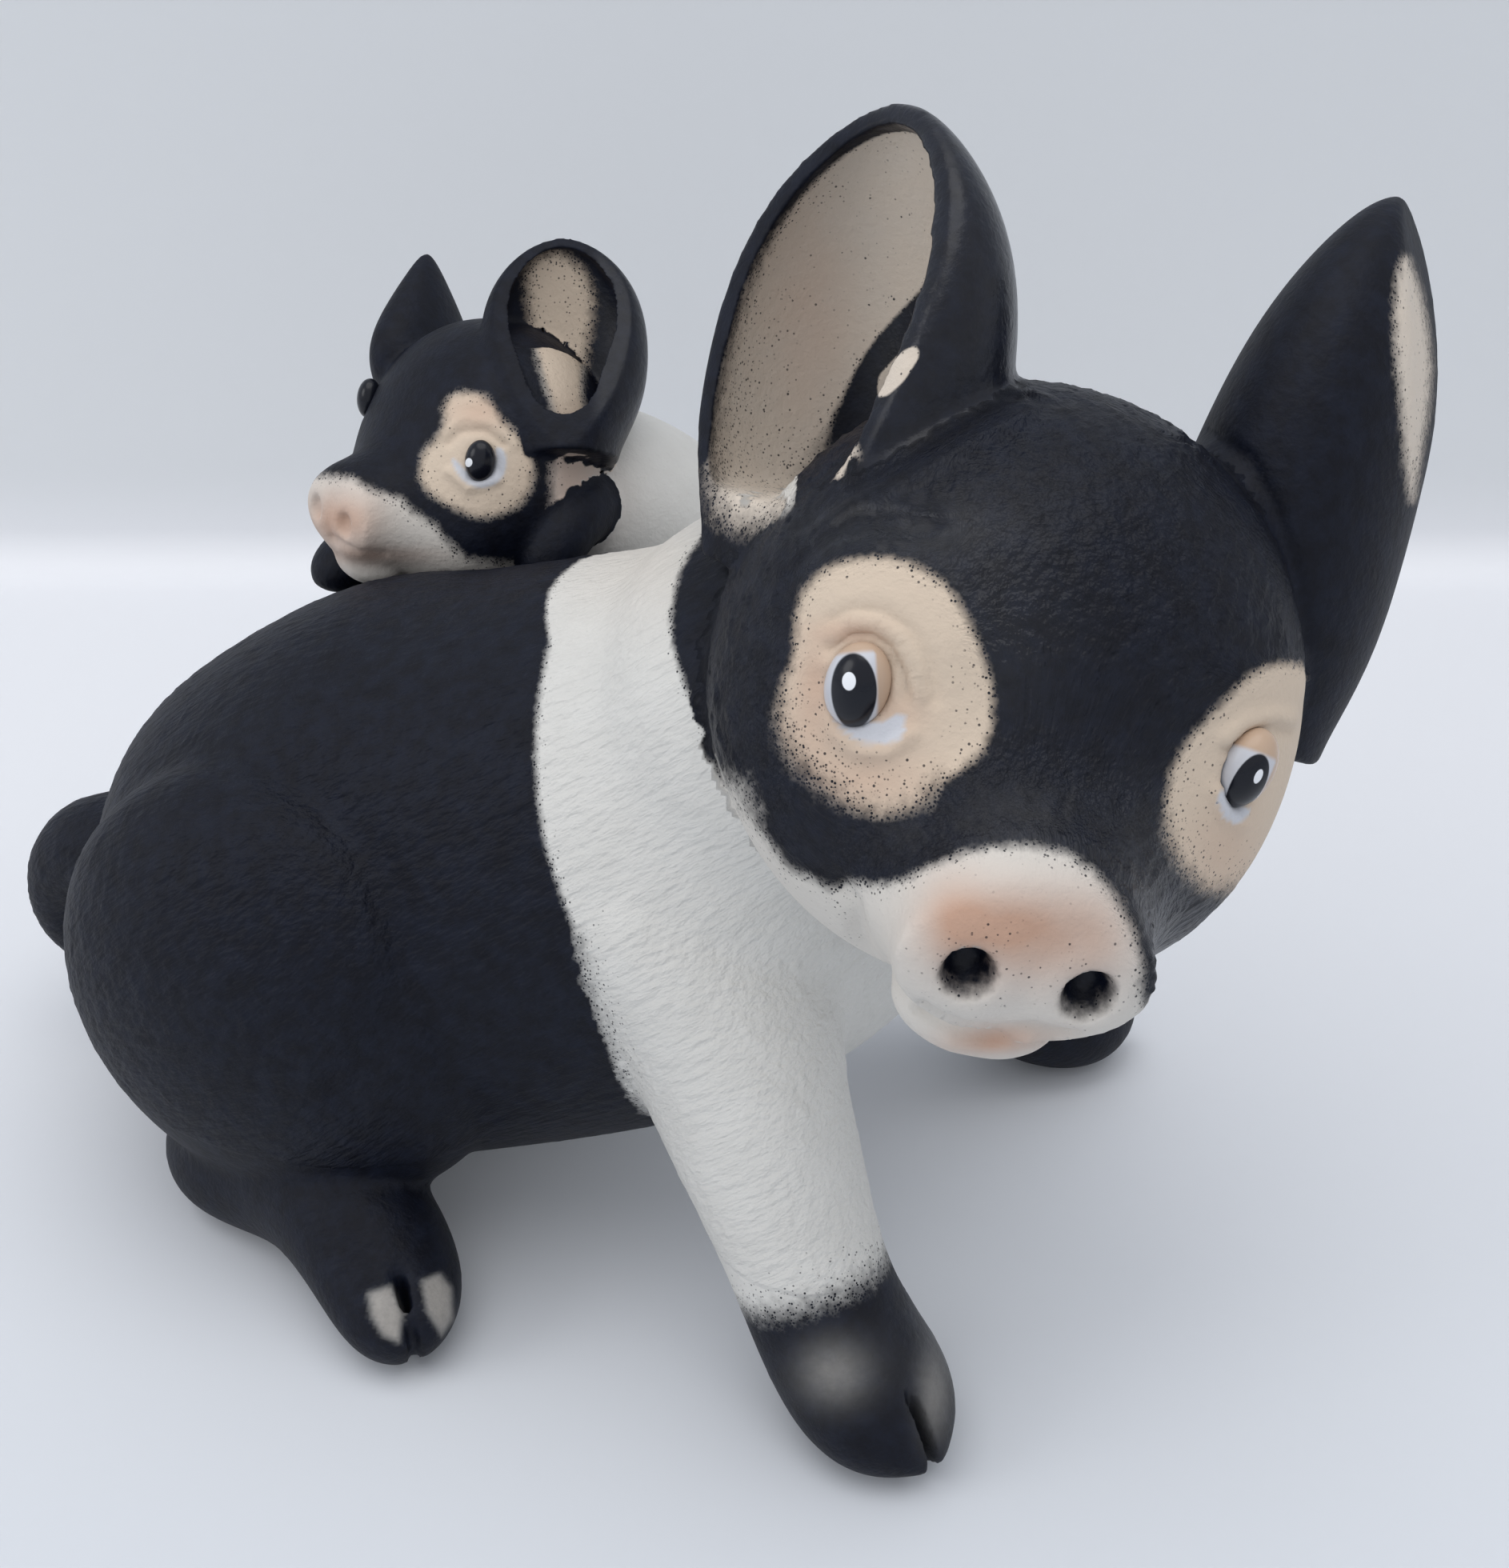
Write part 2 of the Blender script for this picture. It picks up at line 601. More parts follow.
rootPatches = [[(1145, 430), (1152, 442), (1130, 476), (1110, 495), (1095, 497), (1098, 470), (1120, 445)],
               [(1065, 543), (1073, 560), (1068, 590), (1050, 610), (1038, 614), (1038, 590), (1055, 560)]]
sowCrescents = [
    rounded([(1046, 818), (1038, 850), (1038, 880), (1048, 910), (1070, 927), (1100, 932), (1127, 925),
             (1134, 905), (1127, 890), (1112, 898), (1100, 903), (1085, 903), (1068, 893), (1058, 870),
             (1055, 840)]),
    rounded([(1520, 990), (1535, 985), (1548, 1005), (1565, 1012), (1556, 1028), (1538, 1030),
             (1525, 1012)])]


# Hair: how much of it each point carries
bare = np.zeros(len(sow.points))
for outline, softness in ((nearEyePatch, 3.0), (farEyePatch, 2.0), (muzzleCream, 2.0)):
    bare = np.maximum(bare, blend(patch(sow.points, outline), -softness, softness))
hairy = np.where(sow.of("sow_head"), 1.0 - bare, 0.75)
hairy = np.where(sow.of("sow_near_ear", "sow_far_ear"), 0.0, hairy)
hairy = np.where(sow.of(*limbNodes[:4]) & (sow.points[:, 2] < 26), 0.15, hairy)
hairy = hairy * blend(sow.normals()[:, 2], -0.9, -0.4)
flow = hairFlow(sow)
sow.strokes(bodyHair, flow, hairy)
# combed places: drawn together along the hairs, so that a grain read there runs in streaks
drawn = 0.78
combed = sow.points - drawn * bodyLine * (sow.points @ bodyLine)[:, None]
fromHead = sow.points - sowHead["place"]
combedHead = fromHead - drawn * flow * (fromHead * flow).sum(1)[:, None]
combed = np.where(sow.of("sow_head")[:, None], combedHead, combed)
crown = hairy * sow.of("sow_head") * blend(sow.normals()[:, 2], -0.5, 0.1)
sow.strokes(crownHair, flow, crown)
print("sow carved")


# Paint fields: black is in millimetres, below zero in the cream
def earPaint(skin, node, rim):
    # cream inside the cup, black outside and over the rim
    ear = ears[node]
    leaf = earLeaf(skin, ear)
    normal = skin.normals() @ ear["head"]["axes"].T @ ear["rows"].T
    towards = -(normal[:, :2] * leaf[:, :2]).sum(1) / np.maximum(np.hypot(leaf[:, 0], leaf[:, 1]), 0.5)
    tip = ear["length"] - leaf[:, 2]
    along = (tip * math.cos(earSlant) + leaf[:, 1] * math.sin(earSlant)) / ear["length"]
    mouth = leaf[:, 1] * math.cos(earSlant) - tip * math.sin(earSlant)
    mouth = mouth - ear["bulge"] * (1 - (2 * along - 1) ** 2)
    inside = blend(towards, -0.1, 0.4)
    return -np.clip(((-mouth - rim) * inside - 6 * (1 - inside)) * ear["head"]["share"], -8, 8)


# Sprayed ovals: middle and half sizes in the photograph's pixels, then strength
airbrush = {
    "warmNeck": [(800, 690, 130, 90, 0.35)],
    "peachHead": [
        (1275, 1165, 95, 60, 0.95), (1190, 1150, 45, 55, 0.6), (1370, 1180, 50, 60, 0.35),
        (1255, 1290, 70, 12, 0.5), (1060, 790, 45, 16, 0.55), (1120, 890, 40, 30, 0.4),
        (1020, 840, 22, 40, 0.35), (1530, 1060, 45, 60, 0.3), (1240, 1306, 60, 13, 0.8),
        (1015, 900, 40, 70, 0.4), (1090, 975, 80, 40, 0.4)],
    "peachEar": [(1010, 400, 55, 130, 0.3)],
    "dustHead": [
        (1010, 925, 60, 75, 0.6), (1090, 985, 100, 32, 0.55), (1215, 880, 28, 90, 0.3),
        (1480, 1040, 42, 85, 0.6), (1215, 1205, 60, 50, 0.42), (1360, 1235, 58, 48, 0.42),
        (1280, 1150, 130, 90, 0.04), (1060, 1130, 22, 45, 0.5)],
    "dustEar": [(940, 600, 70, 70, 0.55), (930, 400, 32, 170, 0.35), (1000, 220, 60, 60, 0.3)],
    "glossHead": [
        (1240, 800, 90, 120, 0.9), (1110, 660, 110, 35, 1), (1330, 1030, 160, 60, 0.6),
        (1430, 1120, 60, 100, 0.6)],
    "glossHoof": [(1130, 1690, 60, 60, 0.7)],
    "paleHoof": [(1042, 1715, 42, 38, 0.28), (1168, 1740, 20, 55, 0.28)],
    "pigPeachHead": [
        (425, 650, 50, 38, 0.9), (470, 695, 70, 12, 0.5), (600, 515, 40, 22, 0.5), (715, 600, 40, 70, 0.6)],
    "pigPeachBack": [(720, 620, 60, 60, 0.35)],
    "pigDustHead": [(640, 610, 40, 50, 0.35)],
}


def spots(skin, name):
    flat = seen(skin.points)[0]
    total = np.zeros(len(flat))
    for x, y, across, high, strength in airbrush[name]:
        total += strength * np.exp(-((flat[:, 0] - x) / across) ** 2 - ((flat[:, 1] - y) / high) ** 2)
    return total * (towardsView(skin.points, skin.normals()) > 0)


# Where paint fades across or down the photograph, in its pixels
fades = {
    "earFoot": (560, 620), "cheek": (820, 960), "jaw": (1040, 1010), "cupLeft": (1000, 930),
    "cupFoot": (520, 600), "cupRight": (1020, 1080), "rimGloss": (1050, 1130), "farCupFrom": 1725,
    "tongueAcross": (880, 1000), "tongueDown": (585, 672), "pigRimGloss": (735, 755),
}
sowBelt = {
    # rear edge of the belt at each height, and the head's black collar as a reach from its middle
    "heights": [30, 38.2, 53.1, 66.7, 78.1, 86.4, 97, 99.5, 104],
    "edges": [65, 63.6, 61.9, 58.4, 52.7, 49.6, 46.5, 42, 41],
    "collarHeights": [84, 90, 94, 100, 105, 110, 120],
    "collarReaches": [28, 31, 35, 38, 41, 43, 44],
    "collarFrom": (86, 74),
    # each foreleg turns black this far down its line from the root
    "cuffs": {"sow_near_foreleg": ((82.9, -32.0, 35.0), (0.46, -0.26, -0.85)),
              "sow_far_foreleg": ((87.4, 35.5, 35.0), (0.46, 0.26, -0.85))},
    "cuffReach": 16.5,
    "bellyBelow": 40, "bellyTurn": 0.8, "bellyFade": 18, "collarDrop": 12, "hiddenFrom": -8,
    "tongueReach": 52,
}
deep = 9  # mm, the farthest from a paint's edge that the fields tell


def sowPaint(skin):
    p, n = skin.points, skin.normals()
    x, y = seen(p)[0].T
    side, up = local(sowHead, p).T[:2]
    facing = blend(towardsView(p, n), -0.25, 0.1)
    faced = skin.spread(facing, 5) > 0.5
    reach = np.linalg.norm(p - sowHead["place"], axis=1)
    body = np.interp(p[:, 2], sowBelt["heights"], sowBelt["edges"]) - p[:, 0]
    belly = (n[:, 2] + sowBelt["bellyTurn"]) * sowBelt["bellyFade"]
    body = np.minimum(body, np.where(p[:, 2] < sowBelt["bellyBelow"], belly, deep))
    collar = np.interp(p[:, 2], sowBelt["collarHeights"], sowBelt["collarReaches"])
    collar = collar - sowBelt["collarDrop"] * blend(p[:, 2], *sowBelt["collarFrom"])
    body = np.maximum(body, collar - reach)
    nearSide = np.where(side < 0, patch(p, nearEyePatch), -deep)
    farSide = np.where(side > 0, patch(p, farEyePatch), -deep)
    cream = np.maximum(np.maximum(nearSide, farSide), patch(p, muzzleCream))
    hidden = np.clip(sowBelt["hiddenFrom"] - up, -deep, deep)
    head = -(np.clip(cream, -deep, deep) * facing + hidden * (1 - facing))
    black = np.where(skin.of("sow_head"), head, body)
    for node, (root, line) in sowBelt["cuffs"].items():
        cuff = (p - np.array(root)) @ np.array(line) - sowBelt["cuffReach"]
        black = np.where(skin.of(node), np.maximum(cuff, body), black)
    black = np.where(skin.of("sow_near_hind_leg", "sow_far_hind_leg", "sow_tail"), deep, black)
    near = earPaint(skin, "sow_near_ear", 2.2)
    cup = patch(p, nearEarCream)
    low = blend(y, *fades["earFoot"])
    near = np.where(faced, np.maximum(-cup, near * (1 - low) - deep * low), near)
    for outline in rootPatches:
        near = np.minimum(near, -2.2 * patch(p, outline) * facing + 6 * (1 - facing))
    black = np.where(skin.of("sow_near_ear"), near, black)
    far = earPaint(skin, "sow_far_ear", 1.0)
    far = np.where(faced & (x > fades["farCupFrom"]), -patch(p, farEarCream), far)
    black = np.where(skin.of("sow_far_ear"), far, black)
    # the foot of the near ear's cream runs on over its seam
    (left, right), (top, bottom) = fades["tongueAcross"], fades["tongueDown"]
    tongue = (x > left) & (x < right) & (y > top) & (y < bottom) & (reach < sowBelt["tongueReach"])
    black = np.where(tongue & (towardsView(p, n) > -0.1), -cup, black)
    return skin.spread(np.clip(black, -deep, deep), 2)


def sowFieldsOf(skin):
    p, n = skin.points, skin.normals()
    x, y = seen(p)[0].T
    visible = towardsView(p, n) > 0
    side, up, face = local(sowHead, p).T
    head, nearEar, farEar, torso, nearForeleg, nearHindLeg = [
        skin.of("sow_" + name).astype(float)
        for name in ("head", "near_ear", "far_ear", "torso", "near_foreleg", "near_hind_leg")]
    warm = head * (side < 0) * blend(patch(p, nearEyePatch), -3, 1) * 1.3
    warm = warm + head * (side > 0) * blend(patch(p, farEyePatch), -3, 1) * 1.2
    warm = np.clip(warm + 0.25 * head + 0.86 * nearEar + 0.8 * farEar, 0, 2)
    warm = warm + torso * spots(skin, "warmNeck")
    peach = head * spots(skin, "peachHead") + nearEar * spots(skin, "peachEar")
    soft = np.full(len(p), 1.1)
    soft += head * (side < -12) * blend(y, *fades["cheek"]) * 1.8 * blend(y, *fades["jaw"])
    soft += head * (side > 0) * blend(up, 6, -6) * 1.4 * (face < 34)
    soft += skin.of("sow_near_foreleg", "sow_far_foreleg") * 2.6
    soft += nearEar * np.maximum(blend(x, *fades["cupLeft"]), blend(y, *fades["cupFoot"])) * 2.4
    soft -= nearEar * blend(x, *fades["cupRight"]) * 0.7
    dust = head * spots(skin, "dustHead") + nearEar * (spots(skin, "dustEar") + 0.12)
    gloss = head * (0.2 + spots(skin, "glossHead")) + nearEar * blend(x, *fades["rimGloss"]) * 0.8
    gloss = gloss + nearForeleg * spots(skin, "glossHoof")
    nostril = np.zeros(len(p))
    for across in snout["nostrilSides"]:
        hole = blend(nostrilReach(side, up, across), 4.8, 1.5)
        nostril = np.maximum(nostril, head * (face > 30) * hole)
    pale = nearForeleg * spots(skin, "paleHoof")
    for outline in toePatches:
        pale = np.maximum(pale, 0.55 * blend(patch(p, outline), -0.4, 0.9) * nearHindLeg)
    enamel = np.zeros(len(p))
    for outline in sowCrescents:
        enamel = np.maximum(enamel, blend(patch(p, outline), -0.15, 0.15) * head * visible)
    return {"blackMm": sowPaint(skin), "tints": np.stack([warm, peach, pale * visible], 1),
            "looks": np.stack([soft, gloss, nostril], 1), "enamel": enamel, "dust": np.clip(dust, 0, 1),
            "hair": hairy, "combed": combed}


# Materials
def bisquePaint(name, look):
    paint = Paint(name)
    spot = paint.place()
    black = paint.field("blackMm")
    warm, peach, pale = [paint.part(paint.field("tints", True), k) for k in range(3)]
    soft, gloss, nostril = [paint.part(paint.field("looks", True), k) for k in range(3)]
    coarse = paint.grain(spot, look["coarseSize"], 3.0)
    ragged = paint.grain(spot, look["raggedSize"], 3.0, 0.6)
    dotReach = paint.cells(spot, look["speckSize"], 0)
    dotChance, dotSize = [paint.part(paint.cells(spot, look["speckSize"], 1), k) for k in range(2)]
    edge = black + (ragged - 0.5) * 1.1 * soft
    solid = (edge / soft).ease(-0.75, 0.85)
    near = (black / (soft * 1.7)).ease(-1.6, 0.6)
    dust = near * near * 0.9 + paint.field("dust") * 0.62 + look["strayDust"]
    dots = (dotReach - dotSize * 0.3).ease(0.26, 0.04) * ((dust - dotChance) * 12.0).clip()
    hole = (nostril + (ragged - 0.5) * 0.5).ease(0.3, 0.95)
    mask = (solid + dots * (0.3 + dotSize * 0.6) + hole).clip()
    mask = mask * (1.0 - pale * (0.75 + ragged * 0.5)).clip()
    white = paint.mix(coarse, look["whiteLow"], look["whiteHigh"])
    cream = paint.mix((warm * 0.8 + (coarse - 0.5) * 0.3 * warm).clip(), white, look["cream"])
    flesh = paint.mix((peach * (0.75 + coarse * 0.5)).clip(), cream, look["peach"])
    flesh = paint.mix((pale * 0.5).clip(), flesh, look["nail"])
    cloud = paint.grain(spot, look["cloudSize"], 4.0, 0.65).ease(0.3, 0.75)
    dark = paint.mix(cloud, look["blackLow"], look["blackHigh"])
    glazed = paint.field("enamel")
    paint.set("Base Color", paint.mix(glazed, paint.mix(mask, flesh, dark), look["enamel"]))
    shine = (gloss * (0.6 + ragged * 0.8)).clip() * mask + glazed
    paint.set("Roughness", look["roughness"] - shine * look["shine"] - mask * 0.06 + (ragged - 0.5) * 0.1)
    paint.set("Coat Weight", shine * look["coat"])
    paint.set("Coat Roughness", look["coatRoughness"])
    paint.set("Specular IOR Level", look["specular"])
    fine = paint.grain(spot, look["fineSize"], 3.0, 0.6)
    pits = paint.grain(spot, look["pitSize"], 3.0, 0.55)
    streaks = paint.grain(paint.field("combed", True), look["streakSize"], 2.5, 0.55) * paint.field("hair")
    height = fine * 0.2 + pits * 0.5 + streaks * (2.4 + gloss * 1.6)
    relief = {"Strength": look["bumpStrength"], "Distance": look["bumpDistance"], "Height": height}
    paint.set("Normal", paint.node("ShaderNodeBump", {}, relief))
    return paint.material


bisqueLook = {
    # sizes in millimetres
    "speckSize": 0.36, "coarseSize": 6.0, "raggedSize": 1.3, "cloudSize": 3.0, "fineSize": 0.5,
    "pitSize": 1.2, "streakSize": 1.0, "strayDust": 0.012, "roughness": 0.62, "shine": 0.33,
    "coat": 0.4, "coatRoughness": 0.3, "specular": 0.21, "bumpStrength": 0.6, "bumpDistance": 0.0005,
    "whiteLow": (0.60, 0.59, 0.56, 1), "whiteHigh": (0.68, 0.67, 0.64, 1), "cream": (0.63, 0.52, 0.41, 1),
    "peach": (0.52, 0.33, 0.24, 1), "nail": (0.38, 0.29, 0.21, 1), "enamel": (0.55, 0.56, 0.60, 1),
    "blackLow": (0.0012, 0.0019, 0.0062, 1), "blackHigh": (0.0046, 0.0070, 0.0165, 1),
}
bisque = bisquePaint("bisqueAirbrushed", bisqueLook)


def writePieces(skin, fields):
    # one piece for each node, named after it
    normals = skin.normals()
    for node in skin.names:
        first, *others = node.split("_")
        label = first + "".join(word.capitalize() for word in others) + "Skin"
        piece = writePiece(skin, node, fields, normals, label)
        piece.data.materials.append(bisque)


writePieces(sow, sowFieldsOf(sow))
print("sow pieces written")

# Piglet
pigForm = {
    "voxel": 0.42, "slipRounds": 10, "seamRounds": 26, "snoutRounds": 60, "snoutFrom": (30, 36),
    "muzzleDome": 1.5, "nostrilDepth": 1.2, "farEarTaper": 0.6,
    "farSideFrom": -16, "cupFrom": 12, "hiddenFrom": -12, "rumpAt": 34, "rumpBelow": 74,
}
pigNodes = ["piglet_torso", "piglet_head", "piglet_near_ear", "piglet_far_ear", "piglet_near_foreleg",
            "piglet_far_foreleg", "piglet_near_hind_leg", "piglet_far_hind_leg", "piglet_tail"]
pig = Skin(fuseNodes(pigNodes, [], pigForm["voxel"], "pigletFused"), pigNodes, pigForm["voxel"])
pig.smooth(pigForm["slipRounds"])
pig.smooth(pigForm["seamRounds"], 0.5 * pig.junction(["piglet_torso", "piglet_head"], pigNodes[4:]))
pigFace = local(pigHead, pig.points)[:, 2]
pig.smooth(pigForm["snoutRounds"], 0.5 * blend(pigFace, *pigForm["snoutFrom"]) * pig.of("piglet_head"))
muzzle(pig, pigHead, pigForm)


def taper(skin, node, amount):
    # draws an ear's upper end in towards its middle line
    ear = ears[node]
    leaf = earLeaf(skin, ear)
    high = blend(np.clip(leaf[:, 2] / ear["length"], 0, 1), 0.15, 1.0)
    leaf[:, 0] *= 1 - amount * high
    leaf[:, 1] *= 1 - 0.5 * amount * high
    moved = outward(ear["head"], leaf @ ear["rows"] + ear["root"])
    skin.points = np.where(skin.of(node)[:, None], moved, skin.points)


taper(pig, "piglet_far_ear", pigForm["farEarTaper"])
pigFolds = {
    "mouth": ([(415, 672), (445, 690), (480, 694)], 0.6, 0.4),
    "lidLine": ([(560, 555), (575, 540), (605, 538), (630, 556)], 0.6, 0.4),
    "lowerLid": ([(563, 590), (585, 610), (620, 600)], 0.8, -0.5),
    "lid": ([(548, 545), (580, 522), (620, 530), (645, 556)], 0.8, -0.3),
}
for line, width, depth in pigFolds.values():
    pig.crease(line, width, depth, ["piglet_head"])

pigEyePatch = rounded([
    (590, 490), (610, 500), (630, 530), (650, 548), (664, 570), (666, 600), (655, 625), (635, 640),
    (600, 647), (570, 636), (540, 620), (525, 600), (527, 570), (545, 550), (558, 530), (555, 505),
    (570, 492)])
pigSnoutCream = [
    (300, 590), (440, 598), (460, 612), (500, 624), (515, 640), (540, 655), (562, 682), (585, 700),
    (640, 706), (700, 700), (700, 900), (300, 900)]
pigNeckCream = [(690, 545), (760, 540), (900, 540), (900, 900), (760, 900), (735, 690), (690, 700)]
pigCrescent = rounded([
    (562, 570), (570, 592), (585, 607), (605, 612), (627, 602), (635, 580), (630, 560), (618, 558),
    (620, 575), (612, 588), (597, 592), (582, 588), (572, 576)])
pigEarStripe = rounded([
    (665, 330), (690, 317), (715, 325), (735, 350), (740, 385), (735, 420), (727, 460), (726, 500),
    (735, 530), (742, 548), (700, 548), (695, 520), (685, 490), (670, 440), (662, 390), (660, 355)])


def pigFieldsOf(skin):
    p, n = skin.points, skin.normals()
    side, up = local(pigHead, p).T[:2]
    towards = towardsView(p, n)
    head = skin.of("piglet_head")
    nearEar = skin.of("piglet_near_ear")
    facing = blend(towards, -0.25, 0.1) * (side > pigForm["farSideFrom"])
    stripe = patch(p, pigEarStripe)
    cream = np.maximum(np.maximum(patch(p, pigEyePatch), patch(p, pigSnoutCream)), patch(p, pigNeckCream))
    cupSide = side > pigForm["cupFrom"]
    cream = np.maximum(cream, np.where(cupSide, stripe, -deep))
    hidden = np.clip(pigForm["hiddenFrom"] - up, -deep, deep)
    black = np.where(head, -(np.clip(cream, -deep, deep) * facing + hidden * (1 - facing)), -6)
    rump = (p[:, 0] - pigForm["rumpAt"]) * 0.5 + (pigForm["rumpBelow"] - p[:, 2]) * 0.6
    black = np.where(skin.of("piglet_torso"), rump, black)
    black = np.where(skin.of(*pigNodes[4:]), 6, black)
    near = np.maximum(np.where(facing > 0.5, -stripe, deep), earPaint(skin, "piglet_near_ear", 0.5))
    black = np.where(nearEar, near, black)
    black = np.where(skin.of("piglet_far_ear"), earPaint(skin, "piglet_far_ear", 1.5), black)
    inCup = cupSide * blend(stripe, -1, 1)
    warm = head * (blend(patch(p, pigEyePatch), -2, 1) * 1.2 + 0.3 + 1.1 * inCup) + nearEar * 1.4
    peach = head * spots(skin, "pigPeachHead") + skin.of("piglet_torso") * spots(skin, "pigPeachBack")
    soft = 1.4 + nearEar * 0.6
    gloss = nearEar * blend(seen(p)[0][:, 0], *fades["pigRimGloss"]) * 0.5
    none = np.zeros(len(p))
    return {"blackMm": skin.spread(np.clip(black, -deep, deep), 3),
            "tints": np.stack([np.clip(warm, 0, 2), peach, none], 1),
            "looks": np.stack([soft, gloss, none], 1),
            "enamel": blend(patch(p, pigCrescent), -0.2, 0.3) * head * (towards > 0),
            "dust": head * spots(skin, "pigDustHead") + nearEar * 0.25}


writePieces(pig, pigFieldsOf(pig))
print("piglet pieces written")


# Eyes
eyeLook = {
    # pupil's middle in the head's frame; its half sizes, lean and glint as seen from the front
    "sow_near_eye": {"head": sowHead, "at": (-23.2, 7.0, 23.4), "half": (2.35, 3.9), "lean": 0.06,
                     "glintAt": (-0.5, 1.0), "glintHalf": (0.7, 0.95)},
    "sow_far_eye": {"head": sowHead, "at": (21.9, 6.0, 23.7), "half": (1.9, 3.4), "lean": -0.35,
                    "glintAt": (0.55, 1.1), "glintHalf": (0.45, 0.8)},
    # the piglet's beads are all dark, and the far one shows no glint
    "piglet_near_eye": {"head": pigHead, "at": (25.6, 8.5, 20.6), "glintAt": (-0.9, -0.4)},
    "piglet_far_eye": {"head": pigHead, "at": (-25.6, 8.5, 20.6)},
}
eyeColours = {
    "white": (0.55, 0.56, 0.60, 1), "lid": (0.50, 0.36, 0.26, 1), "pupil": (0.006, 0.007, 0.012, 1),
    "glint": (0.85, 0.87, 0.90, 1), "roughness": 0.22, "specular": 0.3,
}


def enamelPaint(node, head, at, half=None, lean=0.0, glintAt=None, glintHalf=(0.6, 0.6)):
    # the pupil and its glint are ovals seen along the line of sight
    paint = Paint(node + "Enamel")
    spot = paint.place()
    middle = outward(head, at)
    across = viewRight * math.cos(lean) + viewUp * math.sin(lean)
    upright = viewUp * math.cos(lean) - viewRight * math.sin(lean)
    u = paint.along(spot, across) - float(middle @ across)
    v = paint.along(spot, upright) - float(middle @ upright)

    def oval(place, size):
        wide, high = (u - place[0]) / size[0], (v - place[1]) / size[1]
        return wide * wide + high * high

    colour = eyeColours["pupil"]
    if half:
        lid = v.ease(half[1] - 0.3, half[1] + 0.4) + u.ease(half[0] - 0.2, half[0] + 0.3)
        rim = paint.mix(lid.clip(), eyeColours["white"], eyeColours["lid"])
        colour = paint.mix(oval((0, 0), half).ease(1.08, 0.92), rim, colour)
    if glintAt:
        colour = paint.mix(oval(glintAt, glintHalf).ease(1.15, 0.85), colour, eyeColours["glint"])
    paint.set("Base Color", colour)
    paint.set("Roughness", eyeColours["roughness"])
    paint.set("Specular IOR Level", eyeColours["specular"])
    return paint.material


for node, look in eyeLook.items():
    nodes[node].data.materials.clear()
    nodes[node].data.materials.append(enamelPaint(node, **look))
print("eyes painted")

# Stage, light, camera
stageLook = {
    "wallFrom": 0.473, "sweepRadius": 0.012, "wallHeight": 1.6, "halfWidth": 2.0,  # m
    "far": (0.79, 0.80, 0.83, 1), "front": (0.62, 0.66, 0.71, 1), "groundFrom": (-0.24, 0.12),
    "wallLow": (0.68, 0.70, 0.72, 1), "wallHigh": (0.58, 0.605, 0.635, 1), "wallFade": (0.02, 0.5),
    "seamFade": (0.0, 0.03), "roughness": 0.55, "room": (0.93, 0.95, 1.0, 1), "roomLight": 0.76,
}
lamps = {
    "overhead": {"place": (0.1, -0.1, 1.1), "aim": (0.05, 0, 0.05), "size": 1.3, "power": 6.2},
    "fromLeft": {"place": (-0.8, -0.7, 0.6), "aim": (0.05, 0, 0.06), "size": 0.6, "power": 2.2},
}


def stagePaint(look):
    # the sheet is lightest where it turns up behind the figurine
    paint = Paint("paleSweep")
    spot = paint.place(1.0)
    away = paint.along(spot, -viewLevel * math.cos(elevation))
    height = paint.part(spot, 2)
    ground = paint.mix(away.ease(*look["groundFrom"]), look["front"], look["far"])
    wall = paint.mix(height.ease(*look["wallFade"]), look["wallLow"], look["wallHigh"])
    paint.set("Base Color", paint.mix(height.ease(*look["seamFade"]), ground, wall))
    paint.set("Roughness", look["roughness"])
    # from behind, the sheet lets the camera look through it
    behind = paint.node("ShaderNodeNewGeometry", out=6)
    clear = paint.node("ShaderNodeBsdfTransparent")
    sheet = Wire(paint, paint.shader.outputs[0])
    both = paint.node("ShaderNodeMixShader", {}, {0: behind, 1: sheet, 2: clear})
    paint.tree.links.new(both.socket, paint.tree.nodes["Material Output"].inputs[0])
    return paint.material


deselectAll()
bpy.ops.mesh.primitive_plane_add(size=2)
floor = bpy.context.active_object
floor.name = "paleSweep"
bpy.ops.object.mode_set(mode="EDIT")
bpy.ops.mesh.select_all(action="SELECT")
bpy.ops.transform.resize(value=(stageLook["halfWidth"], 1.0, 1.0), center_override=(0, 0, 0))
bpy.ops.transform.translate(value=(0, stageLook["wallFrom"] - 1.0, 0))
bpy.ops.mesh.select_mode(type="EDGE")
bpy.ops.mesh.select_all(action="DESELECT")
bpy.ops.object.mode_set(mode="OBJECT")
for edge in floor.data.edges:
    edge.select = all(floor.data.vertices[v].co.y > 0 for v in edge.vertices)
bpy.ops.object.mode_set(mode="EDIT")
bpy.ops.mesh.extrude_region_move(TRANSFORM_OT_translate={"value": (0, 0, stageLook["wallHeight"])})
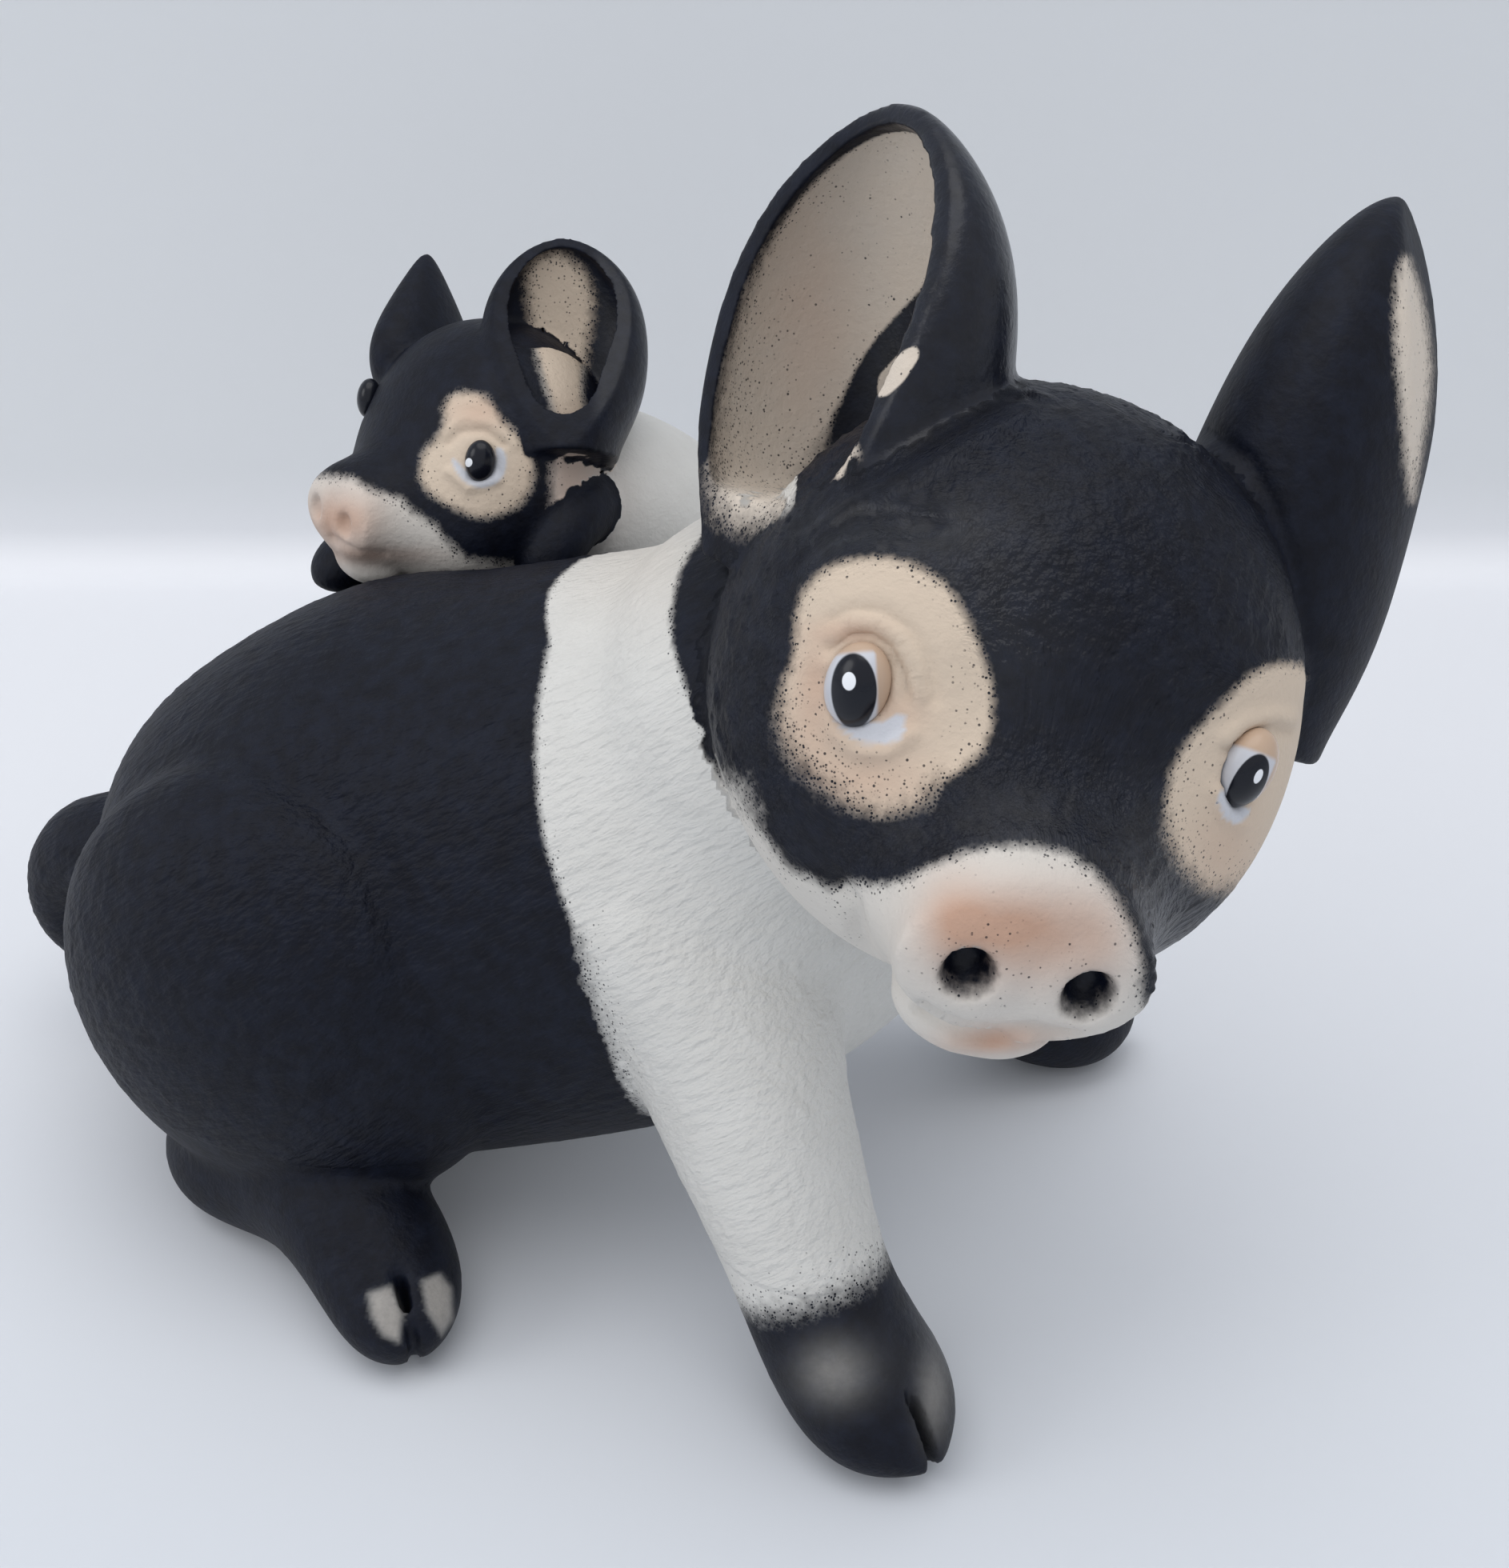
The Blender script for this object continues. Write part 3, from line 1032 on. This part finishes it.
bpy.ops.mesh.select_all(action="DESELECT")
bpy.ops.object.mode_set(mode="OBJECT")
for edge in floor.data.edges:
    ends = [floor.data.vertices[v].co for v in edge.vertices]
    edge.select = all(end.y > 0 and abs(end.z) < 1e-6 for end in ends)
bpy.ops.object.mode_set(mode="EDIT")
bpy.ops.mesh.bevel(offset=stageLook["sweepRadius"], segments=12)
bpy.ops.mesh.select_all(action="SELECT")
bpy.ops.mesh.normals_make_consistent(inside=False)
bpy.ops.mesh.faces_shade_smooth()
bpy.ops.transform.rotate(value=-azimuth, orient_axis="Z", center_override=(0, 0, 0))
bpy.ops.transform.translate(value=(view["at"][0] / 1000, view["at"][1] / 1000, 0))
bpy.ops.object.mode_set(mode="OBJECT")
if min(face.normal.z for face in floor.data.polygons) < -0.5:
    floor.data.flip_normals()
floor.data.materials.append(stagePaint(stageLook))

world = bpy.data.worlds.new("softRoom")
world.use_nodes = True
world.node_tree.nodes["Background"].inputs[0].default_value = stageLook["room"]
world.node_tree.nodes["Background"].inputs[1].default_value = stageLook["roomLight"]
bpy.context.scene.world = world


def softLamp(name, place, aim, size, power):
    lamp = bpy.data.lights.new(name, "AREA")
    lamp.shape, lamp.size, lamp.energy = "DISK", size, power
    item = bpy.data.objects.new(name, lamp)
    item.location = place
    item.rotation_euler = (Vector(aim) - Vector(place)).to_track_quat("-Z", "Y").to_euler()
    bpy.context.scene.collection.objects.link(item)


for name, lamp in lamps.items():
    softLamp(name, **lamp)

camera = bpy.data.objects.new("camera", bpy.data.cameras.new("camera"))
camera.data.lens = view["focal"] / view["height"] * view["sensor"]
camera.data.sensor_fit = "VERTICAL"
camera.data.sensor_height = view["sensor"]
camera.data.clip_start = 0.01
turned = Matrix((viewRight, viewUp, viewBack)).transposed().to_4x4()
camera.matrix_world = Matrix.Translation(Vector(view["at"]) / 1000) @ turned
bpy.context.scene.collection.objects.link(camera)
bpy.context.scene.camera = camera
bpy.context.scene.view_settings.view_transform = "Standard"

print("stage and camera set")
